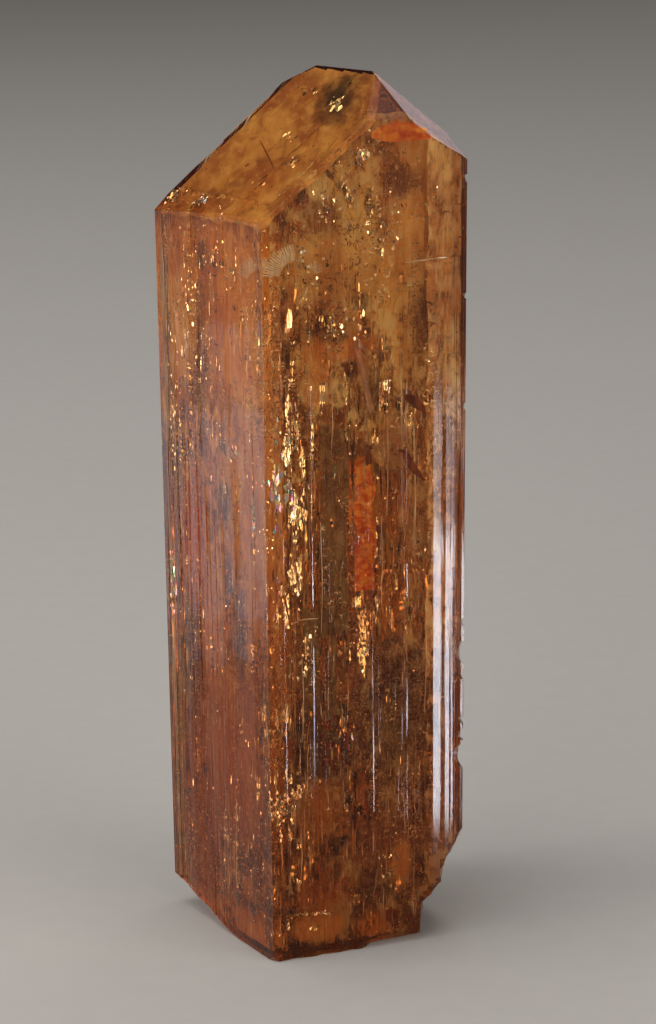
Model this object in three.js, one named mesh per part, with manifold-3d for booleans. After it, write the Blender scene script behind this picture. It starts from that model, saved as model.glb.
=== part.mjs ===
import * as THREE from 'three';
import { mergeVertices } from 'three/addons/utils/BufferGeometryUtils.js';
import Module from 'manifold-3d';

const wasm = await Module();
wasm.setup();

// A single prismatic crystal: a faceted crown above, a broken base below.
// Lengths are mm and angles degrees. An azimuth of 0 faces the front (-Y) and grows
// towards the right (+X). A tilt of 0 faces up and 90 faces sideways.
// All positions count from the foot of the front edge.

// Prism: two broad front faces meet at the front edge, a narrow bevel closes the right
// corner, and two broad faces close the back. Each width grows a little per mm of height.
const RIGHT = { azimuth: 23.4, width: 11.83, flare: 0.0083 };
const BEVEL = { azimuth: 45.1, width: 2.9, flare: 0.0062 };
const LEFT = { azimuth: -60.7, width: 14.61, flare: 0.0138 };
const BACK_RIGHT_AZIMUTH = 116.7;
const BACK_LEFT_AZIMUTH = -155.4;
const EDGE_LEAN = -0.0087;

// Growth strips: where each strip starts, as a share of the face's width, and how deep it
// lies under the face in mm. The strips run the whole height and swell and fade along it.
const RISER = 0.12;
const RIGHT_STRIPS = [
  [0.0, 0.0],
  [0.1, 0.14],
  [0.16, 0.04],
  [0.27, 0.2],
  [0.33, 0.08],
  [0.46, 0.16],
  [0.5, 0.02],
  [0.63, 0.2],
  [0.71, 0.1],
  [0.84, 0.24],
  [0.88, 0.05],
  [0.95, 0.0],
];
const BEVEL_STRIPS = [
  [0.0, 0.0],
  [0.26, 0.16],
  [0.38, 0.0],
  [0.78, 0.08],
  [0.9, 0.0],
];
const BACK_RIGHT_STRIPS = [
  [0.0, 0.0],
  [0.08, 0.2],
  [0.17, 0.06],
  [0.3, 0.24],
  [0.41, 0.1],
  [0.52, 0.28],
  [0.6, 0.08],
  [0.76, 0.2],
  [0.9, 0.0],
];
const BACK_LEFT_STRIPS = [
  [0.0, 0.0],
  [0.07, 0.16],
  [0.2, 0.28],
  [0.26, 0.1],
  [0.44, 0.22],
  [0.55, 0.06],
  [0.68, 0.26],
  [0.75, 0.12],
  [0.93, 0.0],
];
const LEFT_STRIPS = [
  [0.0, 0.0],
  [0.06, 0.18],
  [0.15, 0.3],
  [0.19, 0.16],
  [0.33, 0.26],
  [0.4, 0.04],
  [0.57, 0.12],
  [0.64, 0.26],
  [0.68, 0.06],
  [0.88, 0.14],
  [0.93, 0.0],
];

// Heights at which the outline is drawn.
const LEVELS = [-2, 4, 11, 19, 27, 35, 43, 51, 62];

// Crown: flat growth faces, each by azimuth, tilt and distance from the foot point.
const CROWN = [
  { azimuth: -65.25, tilt: 39.45, distance: 39.04 },
  { azimuth: -65.4, tilt: 45, distance: 35.84 },
  { azimuth: 27.8, tilt: 27.6, distance: 50.1 },
  { azimuth: 82.3, tilt: 41.3, distance: 47.92 },
  { azimuth: 121.2, tilt: 42.7, distance: 50.49 },
  { azimuth: -150, tilt: 29.8, distance: 56.91 },
];

// Base: broken flat across, with a sloping break under the left corner and worn edges.
const BASE = [
  { azimuth: 0, tilt: 180, distance: 0.25 },
  { azimuth: -103, tilt: 161.8, distance: 1.4 },
  { azimuth: -35, tilt: 125, distance: -0.08 },
  { azimuth: 40, tilt: 130, distance: 2.2 },
  { azimuth: 175, tilt: 142, distance: 11.9 },
];

// Broken right corner of the base: two steps, each bounded by a steep side and a slanting roof.
const BREAK_STEPS = [
  [
    { azimuth: 88, tilt: 92, point: [11.58, 7.0, 3.6] },
    { azimuth: 80, tilt: 116, point: [12.1, 7.0, 5.1] },
  ],
  [
    { azimuth: 86, tilt: 93, point: [10.05, 5.0, 1.5] },
    { azimuth: 82, tilt: 134, point: [11.0, 6.0, 2.95] },
  ],
];

// Cleavage steps left on the underside where thin plates have come away.
const CLEAVAGE_STEPS = [
  [
    { azimuth: 158, tilt: 84, point: [4.0, 13.8, 0] },
    { azimuth: 0, tilt: 180, point: [4.0, 13.8, 0.12] },
  ],
  [
    { azimuth: 176, tilt: 80, point: [4.0, 16.4, 0] },
    { azimuth: 0, tilt: 179, point: [4.0, 16.4, 0.5] },
  ],
  [
    { azimuth: 66, tilt: 82, point: [8.4, 8.0, 0] },
    { azimuth: 60, tilt: 178, point: [8.4, 8.0, 0.1] },
  ],
];

// Shell-shaped hollows on the breaks and the base: centre, then half-lengths along x, y, z.
const HOLLOWS = [
  { centre: [13.7, 9.6, 3.9], size: [2.5, 2.6, 2.4] },
  { centre: [12.2, 6.8, 1.3], size: [2.0, 2.0, 1.5] },
  { centre: [10.9, 12.2, -0.9], size: [3.1, 2.4, 1.9] },
  { centre: [13.2, 3.7, 6.6], size: [2.6, 1.4, 3.6] },
  { centre: [-6.2, 16.4, 3.4], size: [2.4, 1.9, 2.6] },
  { centre: [1.4, 19.6, 13.5], size: [2.4, 1.9, 3.4] },
  { centre: [-8.6, 13.8, 50.4], size: [0.9, 1.2, 0.8] },
];

// Small chips down the right corner: height, half-height and depth.
const CORNER_CHIPS = [
  [21.7, 0.35, 0.25],
  [19.5, 0.95, 0.55],
  [17.9, 0.3, 0.3],
  [14.8, 0.35, 0.3],
  [13.7, 0.45, 0.35],
  [12.4, 1.0, 0.6],
  [36.6, 0.3, 0.2],
  [44.1, 0.25, 0.2],
  [52.0, 0.3, 0.25],
];

function facing(azimuth) {
  const a = THREE.MathUtils.degToRad(azimuth);
  return new THREE.Vector2(Math.sin(a), -Math.cos(a));
}

function normalOf(azimuth, tilt) {
  const t = THREE.MathUtils.degToRad(tilt);
  const level = facing(azimuth).multiplyScalar(Math.sin(t));
  return new THREE.Vector3(level.x, level.y, Math.cos(t));
}

function widthAt(face, height) {
  return face.width + face.flare * height;
}

function crossing(pointA, azimuthA, pointB, azimuthB) {
  const a = facing(azimuthA + 90);
  const b = facing(azimuthB + 90);
  const gap = pointB.clone().sub(pointA);
  const along = (gap.x * b.y - gap.y * b.x) / (a.x * b.y - a.y * b.x);
  return pointA.clone().addScaledVector(a, along);
}

function cornersAt(height) {
  const front = new THREE.Vector2(EDGE_LEAN * height, 0);
  const right = front.clone().addScaledVector(facing(RIGHT.azimuth + 90), widthAt(RIGHT, height));
  const bevel = right.clone().addScaledVector(facing(BEVEL.azimuth + 90), widthAt(BEVEL, height));
  const left = front.clone().addScaledVector(facing(LEFT.azimuth - 90), widthAt(LEFT, height));
  const back = crossing(bevel, BACK_RIGHT_AZIMUTH, left, BACK_LEFT_AZIMUTH);
  return { front, right, bevel, back, left };
}

function stripPoints(from, to, strips, height) {
  const run = to.clone().sub(from);
  const width = run.length();
  run.normalize();
  const inward = new THREE.Vector2(-run.y, run.x);
  const points = [];
  strips.forEach(([start, depth], i) => {
    const end = i + 1 < strips.length ? strips[i + 1][0] : 1;
    const swell = 0.75 + 0.25 * Math.sin(height * 0.13 + i * 2.1 + width);
    const startAt = i === 0 ? 0 : start * width + RISER / 2;
    const endAt = i + 1 < strips.length ? end * width - RISER / 2 : width;
    for (const at of [startAt, endAt]) {
      if (at < width) {
        const point = from.clone().addScaledVector(run, at);
        points.push(point.addScaledVector(inward, depth * swell));
      }
    }
  });
  return points;
}

function outlineAt(height) {
  const { front, right, bevel, back, left } = cornersAt(height);
  return [
    ...stripPoints(front, right, RIGHT_STRIPS, height),
    ...stripPoints(right, bevel, BEVEL_STRIPS, height),
    ...stripPoints(bevel, back, BACK_RIGHT_STRIPS, height),
    ...stripPoints(back, left, BACK_LEFT_STRIPS, height),
    ...stripPoints(left, front, LEFT_STRIPS, height),
  ];
}

function prismGeometry() {
  const rings = LEVELS.map((height) => outlineAt(height));
  const count = rings[0].length;
  const positions = [];
  rings.forEach((ring, level) => {
    for (const point of ring) {
      positions.push(point.x, point.y, LEVELS[level]);
    }
  });
  const index = [];
  for (let level = 0; level + 1 < rings.length; level += 1) {
    for (let i = 0; i < count; i += 1) {
      const next = (i + 1) % count;
      const a = level * count + i;
      const b = level * count + next;
      const c = (level + 1) * count + next;
      const d = (level + 1) * count + i;
      index.push(a, b, c, a, c, d);
    }
  }
  const topStart = (rings.length - 1) * count;
  for (const [a, b, c] of THREE.ShapeUtils.triangulateShape(rings.at(-1), [])) {
    index.push(topStart + a, topStart + b, topStart + c);
  }
  for (const [a, b, c] of THREE.ShapeUtils.triangulateShape(rings[0], [])) {
    index.push(a, c, b);
  }
  const geometry = new THREE.BufferGeometry();
  geometry.setAttribute('position', new THREE.Float32BufferAttribute(positions, 3));
  geometry.setIndex(index);
  return geometry;
}

function solid(geometry) {
  const bare = geometry.clone();
  bare.deleteAttribute('normal');
  bare.deleteAttribute('uv');
  const merged = mergeVertices(bare, 1e-4);
  return new wasm.Manifold(
    new wasm.Mesh({
      numProp: 3,
      vertProperties: new Float32Array(merged.attributes.position.array),
      triVerts: new Uint32Array(merged.index.array),
    }),
  );
}

// Everything beyond a plane, as a large block resting on it.
function beyond(azimuth, tilt, distance) {
  const normal = normalOf(azimuth, tilt);
  const block = new THREE.BoxGeometry(160, 160, 80);
  block.translate(0, 0, 40);
  const turn = new THREE.Quaternion().setFromUnitVectors(new THREE.Vector3(0, 0, 1), normal);
  block.applyQuaternion(turn);
  block.translate(normal.x * distance, normal.y * distance, normal.z * distance);
  return solid(block);
}

function stepCutter([side, roof]) {
  const cuts = [side, roof].map(({ azimuth, tilt, point }) => {
    const distance = normalOf(azimuth, tilt).dot(new THREE.Vector3(...point));
    return beyond(azimuth, tilt, distance);
  });
  return cuts[0].intersect(cuts[1]);
}

// A many-faced lump with a slightly uneven skin, for the shell-shaped hollows.
function lump({ centre, size }, i) {
  const ball = new THREE.IcosahedronGeometry(1, 3);
  const position = ball.attributes.position;
  for (let k = 0; k < position.count; k += 1) {
    const p = new THREE.Vector3().fromBufferAttribute(position, k);
    const ripple = 1 + 0.06 * Math.sin(3 * p.x + 2 * i) * Math.cos(4 * p.z + p.y + i);
    position.setXYZ(k, p.x * ripple * size[0], p.y * ripple * size[1], p.z * ripple * size[2]);
  }
  ball.translate(...centre);
  return solid(ball);
}

function chip([height, halfHeight, depth]) {
  const corner = cornersAt(height).bevel;
  const wedge = new THREE.OctahedronGeometry(1, 0);
  wedge.scale(depth * 1.6, depth * 1.6, halfHeight);
  wedge.rotateZ(THREE.MathUtils.degToRad(20));
  wedge.rotateX(THREE.MathUtils.degToRad(12));
  wedge.translate(corner.x + depth * 0.5, corner.y, height);
  return solid(wedge);
}

function crystalSolid() {
  let body = solid(prismGeometry());
  for (const { azimuth, tilt, distance } of [...CROWN, ...BASE]) {
    body = body.subtract(beyond(azimuth, tilt, distance));
  }
  for (const step of [...BREAK_STEPS, ...CLEAVAGE_STEPS]) {
    body = body.subtract(stepCutter(step));
  }
  HOLLOWS.forEach((hollow, i) => {
    body = body.subtract(lump(hollow, i));
  });
  for (const spot of CORNER_CHIPS) {
    body = body.subtract(chip(spot));
  }
  return body;
}

function toGeometry(manifold) {
  const mesh = manifold.getMesh();
  const geometry = new THREE.BufferGeometry();
  geometry.setAttribute('position', new THREE.BufferAttribute(mesh.vertProperties, 3));
  geometry.setIndex(new THREE.BufferAttribute(mesh.triVerts, 1));
  return geometry;
}

const geometry = toGeometry(crystalSolid());
geometry.computeBoundingBox();
const { min, max } = geometry.boundingBox;
geometry.translate(-(min.x + max.x) / 2, -(min.y + max.y) / 2, -min.z);
geometry.computeVertexNormals();

const material = new THREE.MeshStandardMaterial({ color: 0xb5602a, roughness: 0.2, metalness: 0 });
material.name = 'topaz';
const crystal = new THREE.Mesh(geometry, material);
crystal.name = 'crystal';

const part = new THREE.Group();
part.name = 'topaz_crystal';
part.add(crystal);

export default part;
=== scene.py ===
import math
import random

import bmesh
import bpy
import numpy as np
from mathutils import Matrix, Quaternion, Vector, noise


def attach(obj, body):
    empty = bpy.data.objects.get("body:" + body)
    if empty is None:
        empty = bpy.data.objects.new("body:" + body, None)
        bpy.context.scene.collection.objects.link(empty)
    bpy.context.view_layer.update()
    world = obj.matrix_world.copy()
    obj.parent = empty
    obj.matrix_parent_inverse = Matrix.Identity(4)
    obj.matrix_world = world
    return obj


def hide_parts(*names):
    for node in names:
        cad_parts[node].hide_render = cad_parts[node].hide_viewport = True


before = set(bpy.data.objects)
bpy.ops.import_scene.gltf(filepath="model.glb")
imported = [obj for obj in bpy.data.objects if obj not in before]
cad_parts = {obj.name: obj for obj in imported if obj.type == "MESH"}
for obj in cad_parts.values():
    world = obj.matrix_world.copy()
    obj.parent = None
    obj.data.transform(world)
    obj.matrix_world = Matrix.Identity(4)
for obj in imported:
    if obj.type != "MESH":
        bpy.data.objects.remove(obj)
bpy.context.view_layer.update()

MM = 0.001
# Radians in a full turn, near enough for flakes and curls.
FULL_TURN = 6.283

# The crystal is worked out in mm, counted from the foot of its front edge. This carries it
# to the frame's origin, the middle of the base.
TO_FRAME = Vector((-2.584, -10.032, 0.25))
INTO_FRAME = Matrix.Scale(MM, 4) @ Matrix.Translation(TO_FRAME)

# ---- The crystal's form ----

# Azimuth 0 faces the front and grows to the right; tilt 0 faces up.

RIGHT_FACE = {"azimuth": 23.4, "width": 11.83, "flare": 0.0083}
BEVEL_FACE = {"azimuth": 45.1, "width": 2.9, "flare": 0.0062}
LEFT_FACE = {"azimuth": -60.7, "width": 14.61, "flare": 0.0138}
BACK_RIGHT_AZIMUTH = 116.7
BACK_LEFT_AZIMUTH = -155.4
EDGE_LEAN = -0.0087
TALLEST = 58.0
PRISM_FOOT = -2
PRISM_LENGTH = 64

# Each main strip starts with a sloping riser this wide. Growth lines fade out this near the
# prism's edges, stand this far apart, and wave by this much.
RISER = 0.08
EDGE_BAND = 0.25
LINE_GAP = 0.006
WAVE = 0.02

# The left face is uneven up to the rim, and below mid height up to the step: mm from its
# outer edge.
LEFT_RIM = 5.5
LEFT_STEP = 9.2

# The groove along the bevel, and where its panes turn outwards, mm from its left edge.
BEVEL_GROOVE = (0.75, 1.12)
BEVEL_TURN = 1.6

# How deep the fine growth lines are, and how far their panes lean.
FINE_DEPTHS = [0.0, 0.0, 0.01, 0.02, 0.035, 0.06]
FINE_LEANS = [0.0, 0.0, 0.0, 0.03, -0.03, 0.06, -0.06, 0.1, -0.1, 0.18, -0.18]
FOREVER = 200.0

# Main growth strips: share of the face's width where each starts, and its depth in mm.
MAIN_STRIPS = {
    "right": [(0.0, 0.0), (0.1, 0.07), (0.16, 0.02), (0.27, 0.12), (0.33, 0.05), (0.46, 0.09),
              (0.5, 0.01), (0.63, 0.12), (0.71, 0.06), (0.84, 0.14), (0.88, 0.03), (0.95, 0.0)],
    "bevel": [(0.0, 0.0), (0.26, 0.16), (0.38, 0.0), (0.55, 0.12), (0.78, 0.2), (0.9, 0.05)],
    "back_right": [(0.0, 0.0), (0.08, 0.2), (0.17, 0.06), (0.3, 0.24), (0.41, 0.1),
                   (0.52, 0.28), (0.6, 0.08), (0.76, 0.2), (0.9, 0.0)],
    "back_left": [(0.0, 0.0), (0.07, 0.16), (0.2, 0.28), (0.26, 0.1), (0.44, 0.22),
                  (0.55, 0.06), (0.68, 0.26), (0.75, 0.12), (0.93, 0.0)],
    "left": [(0.0, 0.0), (0.06, 0.1), (0.15, 0.16), (0.19, 0.08), (0.33, 0.12), (0.4, 0.02),
             (0.57, 0.05), (0.64, 0.1), (0.68, 0.03), (0.88, 0.06), (0.93, 0.0)],
}
SIDES = list(MAIN_STRIPS)

# Growth faces of the tip: azimuth, tilt, distance from the foot of the front edge.
CROWN = {
    "big": (-65.25, 39.45, 39.04),
    "shoulder": (-65.4, 45.0, 35.84),
    "small": (27.8, 27.6, 50.1),
    "steep": (82.3, 41.3, 47.92),
    "back": (121.2, 42.7, 50.49),
    "chipped": (-150.0, 29.8, 56.91),
}

# Worn edges of the tip: the two faces that meet, and how much is worn off.
RIGHT_WALL = (RIGHT_FACE["azimuth"], 90.0, -0.12)
LEFT_WALL = (LEFT_FACE["azimuth"], 90.0, 0.42)
WORN_EDGES = [
    (CROWN["big"], CROWN["small"], 0.03),
    (CROWN["big"], CROWN["steep"], 0.03),
    (CROWN["small"], CROWN["steep"], 0.05),
    (CROWN["steep"], CROWN["back"], 0.04),
    (CROWN["big"], CROWN["back"], 0.03),
    (CROWN["big"], RIGHT_WALL, 0.08),
    (CROWN["big"], LEFT_WALL, 0.1),
    (CROWN["small"], RIGHT_WALL, 0.09),
]
WORN_FRONT_EDGE = (-18.65, 90.16, -0.06)

# The flat base and the broken underside: azimuth, tilt, distance, and how rough both are.
BASE = (0.0, 180.0, 0.25)
BROKEN = 0.12
UNDERSIDE = [
    (-103.0, 161.8, 1.4),
    (-35.0, 125.0, -0.08),
    (40.0, 130.0, 2.2),
    (175.0, 142.0, 11.9),
]

# Steps of the broken right corner: a steep side and a slanting roof, each through a point.
BREAK_STEPS = [
    ((88.0, 92.0, (11.58, 7.0, 3.6)), (80.0, 116.0, (12.1, 7.0, 5.1))),
    ((86.0, 93.0, (10.05, 5.0, 1.5)), (82.0, 134.0, (11.0, 6.0, 2.95))),
]

# Thin plates that have cleaved off the underside.
CLEAVAGE_STEPS = [
    ((158.0, 84.0, (4.0, 13.8, 0.0)), (0.0, 180.0, (4.0, 13.8, 0.12))),
    ((176.0, 80.0, (4.0, 16.4, 0.0)), (0.0, 179.0, (4.0, 16.4, 0.5))),
    ((66.0, 82.0, (8.4, 8.0, 0.0)), (60.0, 178.0, (8.4, 8.0, 0.1))),
]

# Shell-shaped hollows: centre and half-lengths.
HOLLOWS = [
    ((13.7, 9.6, 3.9), (2.5, 2.6, 2.4)),
    ((12.2, 6.8, 1.3), (2.0, 2.0, 1.5)),
    ((10.9, 12.2, -0.9), (3.1, 2.4, 1.9)),
    ((13.2, 3.7, 6.6), (2.6, 1.4, 3.6)),
    ((-6.2, 16.4, 3.4), (2.4, 1.9, 2.6)),
    ((1.4, 19.6, 13.5), (2.4, 1.9, 3.4)),
    ((-8.6, 13.8, 50.4), (0.9, 1.2, 0.8)),
]

# Chips down the right corner: height, half-height, depth.
CORNER_CHIPS = [(21.7, 0.35, 0.25), (19.5, 0.95, 0.55), (17.9, 0.3, 0.3), (14.8, 0.35, 0.3),
                (13.7, 0.45, 0.35), (12.4, 1.0, 0.6), (36.6, 0.3, 0.2), (44.1, 0.25, 0.2),
                (52.0, 0.3, 0.25)]


def facing(azimuth):
    a = math.radians(azimuth)
    return Vector((math.sin(a), -math.cos(a)))


def normal_of(azimuth, tilt):
    t = math.radians(tilt)
    level = facing(azimuth) * math.sin(t)
    return Vector((level.x, level.y, math.cos(t)))


def width_at(face, height):
    return face["width"] + face["flare"] * height


def crossing(point_a, azimuth_a, point_b, azimuth_b):
    """Where two walls meet, each through a point."""
    a = facing(azimuth_a + 90)
    b = facing(azimuth_b + 90)
    gap = point_b - point_a
    return point_a + a * ((gap.x * b.y - gap.y * b.x) / (a.x * b.y - a.y * b.x))


def corners_at(height):
    front = Vector((EDGE_LEAN * height, 0))
    right = front + facing(RIGHT_FACE["azimuth"] + 90) * width_at(RIGHT_FACE, height)
    bevel = right + facing(BEVEL_FACE["azimuth"] + 90) * width_at(BEVEL_FACE, height)
    left = front + facing(LEFT_FACE["azimuth"] - 90) * width_at(LEFT_FACE, height)
    back = crossing(bevel, BACK_RIGHT_AZIMUTH, left, BACK_LEFT_AZIMUTH)
    return [front, right, bevel, back, left]


# ---- Striated prism ----


def smooth(t):
    t = min(max(t, 0.0), 1.0)
    return t * t * (3 - 2 * t)


def main_depth(strips, share, width):
    """Depth of the main strips at a share of the width, with sloping risers between them."""
    depth = strips[0][1]
    for (_, before), (start, level) in zip(strips, strips[1:]):
        t = (share * width - start * width + RISER / 2) / RISER
        depth += (level - before) * min(max(t, 0.0), 1.0)
    return depth


class Strip:
    """One fine growth line: where it runs, how it tilts, and where it fades out."""

    def __init__(self, rng, start, end):
        self.start = start
        self.end = end
        self.depth = rng.choice(FINE_DEPTHS)
        self.lean = rng.choice(FINE_LEANS)
        self.middle = rng.uniform(-5, TALLEST + 5)
        self.reach = rng.uniform(6, 45)
        self.wander = rng.uniform(0, 6.28)
        self.breaks = 0.12

    def strength(self, height):
        gone = abs(height - self.middle) / self.reach
        whole = 1 - smooth((gone - 0.75) / 0.25)
        broken = noise.noise(Vector((self.wander * 9, height * self.breaks, self.start * 3)))
        return whole * smooth(0.6 + 1.4 * broken)

    def depths(self, height):
        strength = self.strength(height)
        half = (self.end - self.start) * self.lean / 2 * strength
        sunk = self.depth * strength + 0.008 * math.sin(height * 0.21 + self.wander)
        return sunk - half, sunk + half


def fine_strips(rng, main, width):
    """Splits each main strip of a face into fine growth lines of mixed width, in mm."""
    strips = []
    starts = [share * width for share, _ in main] + [width]
    for k, (low, high) in enumerate(zip(starts, starts[1:])):
        at = low + (RISER / 2 if k else 0.0)
        stop = high - (RISER / 2 if high < width else 0.0)
        while at < stop:
            broad = rng.random() < 0.22
            step = rng.uniform(0.3, 0.8) if broad else rng.uniform(0.05, 0.24)
            end = min(at + step, stop)
            if stop - end < 0.05:
                end = stop
            strips.append(Strip(rng, at, end))
            at = end
    return strips


def settle(side, strips):
    """Calms the panes of the bevel and of the left face; unsettles the left face's rim."""
    for k, strip in enumerate(strips):
        sign = 1 if k % 2 else -1
        if side == "bevel":
            strip.depth *= 0.4
            strip.lean = sign * 0.12 + 0.3 * strip.lean
            strip.middle = 62.0
            strip.reach = 27.0 + 9.0 * abs(math.sin(k * 2.3))
            strip.breaks = 0.0
            if BEVEL_GROOVE[0] <= strip.start < BEVEL_GROOVE[1]:
                strip.lean = 0.26
                strip.reach = FOREVER
            elif strip.start > BEVEL_TURN:
                strip.lean = 0.2 + 0.4 * abs(strip.lean)
                strip.reach = FOREVER
        elif side == "left":
            if strip.start < LEFT_RIM:
                strip.lean = sign * (0.09 + abs(strip.lean))
                strip.reach = FOREVER
            elif strip.start < LEFT_STEP:
                strip.lean = sign * (0.08 + 0.5 * abs(strip.lean))
                strip.middle = 4.0
                strip.reach = 30.0
            else:
                strip.lean *= 0.15
                strip.depth *= 0.4


def outline_at(height, widths, lines):
    """The prism's outline at a height, with both edges of every growth line."""
    corners = corners_at(height)
    outline = []
    for i, side in enumerate(SIDES):
        run = corners[(i + 1) % 5] - corners[i]
        stretch = run.length / widths[i]
        run.normalize()
        inward = Vector((-run.y, run.x))
        for strip in lines[side]:
            near, far = strip.depths(height)
            for at, fine, nudge in ((strip.start, near, LINE_GAP), (strip.end, far, -LINE_GAP)):
                share = at / widths[i]
                edge = smooth(min(at, widths[i] - at) / EDGE_BAND)
                spot = Vector((share * 7, height * 0.07, i * 9.0))
                swell = smooth(0.6 + 1.1 * noise.noise(spot))
                wave = WAVE * math.sin(height * 0.33 + at * 0.9) * edge
                depth = main_depth(MAIN_STRIPS[side], share, widths[i]) * swell
                depth += max(fine, 0.0) * edge + wave
                place = corners[i] + run * (at * stretch + nudge) + inward * max(depth, 0.0)
                outline.append((place.x, place.y, height))
    return outline


def prism_mesh(rng):
    base = corners_at(0)
    widths = [(base[(i + 1) % 5] - base[i]).length for i in range(5)]
    lines = {}
    for side, width in zip(SIDES, widths):
        lines[side] = fine_strips(rng, MAIN_STRIPS[side], width)
        settle(side, lines[side])
    rows = 84
    points = []
    for k in range(rows):
        points += outline_at(PRISM_FOOT + PRISM_LENGTH * k / (rows - 1), widths, lines)
    count = len(points) // rows
    faces = []
    for low in range(0, count * (rows - 1), count):
        for i in range(count):
            j = (i + 1) % count
            faces.append((low + i, low + j, low + count + j, low + count + i))
    faces.append(tuple(reversed(range(count))))
    faces.append(tuple(range(count * (rows - 1), count * rows)))
    mesh = bpy.data.meshes.new("prism")
    mesh.from_pydata(points, [], faces)
    return mesh


# ---- Cutting ----


def put(name, data):
    thing = bpy.data.objects.new(name, data)
    bpy.context.scene.collection.objects.link(thing)
    return thing


def put_work(name, work):
    mesh = bpy.data.meshes.new(name)
    work.to_mesh(mesh)
    work.free()
    return put(name, mesh)


def combine(body, tool, operation="DIFFERENCE"):
    """Cuts the tool out of the body, or keeps what they share. The tool is used up."""
    cut = body.modifiers.new("cut", "BOOLEAN")
    cut.solver = "MANIFOLD"
    cut.operation = operation
    cut.object = tool
    graph = bpy.context.evaluated_depsgraph_get()
    graph.update()
    result = bpy.data.meshes.new_from_object(body.evaluated_get(graph))
    used = [body.data, tool.data]
    body.modifiers.clear()
    body.data = result
    bpy.data.objects.remove(tool)
    for mesh in used:
        bpy.data.meshes.remove(mesh)


def roughness_at(p, seed, size):
    """A fracture's height in -1 to 1: shell ripples over a broad noise."""
    q = Vector(p) / size + Vector((seed * 7.3, seed * 3.1, seed))
    broad = noise.noise(q)
    ripple = math.sin(9 * (q - Vector((seed, 0.3, 0.7))).length + 3 * broad)
    fine = noise.noise(q * 4.3)
    return 0.62 * broad + 0.18 * ripple + 0.3 * fine


def block(azimuth, tilt, distance, rough=0.0, size=2.4, seed=0, span=120.0, cells=1):
    """Everything beyond a plane, as a block resting on it, its face rough if asked."""
    normal = normal_of(azimuth, tilt)
    turn = Vector((0, 0, 1)).rotation_difference(normal).to_matrix()
    work = bmesh.new()
    bmesh.ops.create_grid(work, x_segments=cells, y_segments=cells, size=span / 2)
    bmesh.ops.reverse_faces(work, faces=work.faces)
    rim = [e for e in work.edges if e.is_boundary]
    raised = bmesh.ops.extrude_edge_only(work, edges=rim)["geom"]
    tops = {v for v in raised if isinstance(v, bmesh.types.BMVert)}
    for v in tops:
        v.co.z += span / 2
    lid = [e for e in raised if isinstance(e, bmesh.types.BMEdge) and e.is_boundary]
    bmesh.ops.contextual_create(work, geom=lid)
    for v in work.verts:
        v.co = turn @ v.co + normal * distance
        if rough and v not in tops:
            v.co -= normal * rough * max(roughness_at(v.co, seed, size) + 0.4, 0.0)
    bmesh.ops.recalc_face_normals(work, faces=work.faces)
    if work.calc_volume(signed=True) < 0:
        bmesh.ops.reverse_faces(work, faces=work.faces)
    return put_work("block", work)


def lump(centre, size, seed, rough=BROKEN, detail=4):
    """An uneven ellipsoid."""
    work = bmesh.new()
    bmesh.ops.create_icosphere(work, subdivisions=detail, radius=1)
    for v in work.verts:
        swell = 1 + rough * roughness_at(v.co, seed, 0.9)
        v.co = Vector([part * half for part, half in zip(v.co, size)]) * swell
        v.co += Vector(centre)
    return put_work("lump", work)


def step_cutter(side, roof, seed, rough):
    """What lies beyond both planes of a step."""
    blocks = []
    for i, (azimuth, tilt, point) in enumerate((side, roof)):
        beyond = block(azimuth, tilt, 0.0, rough, size=1.6, seed=seed + i, span=26.0, cells=60)
        beyond.data.transform(Matrix.Translation(point))
        blocks.append(beyond)
    combine(*blocks, "INTERSECT")
    return blocks[0]


def edge_between(first, second, depth):
    """The narrow worn face along the edge of two planes, as azimuth, tilt, distance."""
    middle = normal_of(*first[:2]) + normal_of(*second[:2])
    distance = (first[2] + second[2]) * (1 / middle.length) - depth
    n = middle.normalized()
    return math.degrees(math.atan2(n.x, -n.y)), math.degrees(math.acos(n.z)), distance


def mark_faces(mesh):
    """Marks the worn and broken faces, the satin big face of the tip, and the bevel."""
    measured = []
    for key in ("normal", "center"):
        values = np.zeros(len(mesh.polygons) * 3)
        mesh.polygons.foreach_get(key, values)
        measured.append(values.reshape(-1, 3))
    normals, centres = measured

    def on(face):
        return normals @ np.array(normal_of(*CROWN[face][:2])) > 0.9996

    upright = np.abs(normals[:, 2]) < 0.04
    grown = upright | np.any([on(face) for face in CROWN], axis=0)
    along = centres[:, :2] @ np.array(facing(RIGHT_FACE["azimuth"] + 90))
    beyond = along > RIGHT_FACE["width"] + (RIGHT_FACE["flare"] + EDGE_LEAN) * centres[:, 2]
    bevel = upright & beyond & (normals[:, 1] < -0.3)
    for name, values in (("worn", ~grown), ("satin", on("big")), ("bevel", bevel)):
        mark = mesh.attributes.new(name, "FLOAT", "FACE")
        mark.data.foreach_set("value", values.astype(float))


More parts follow.
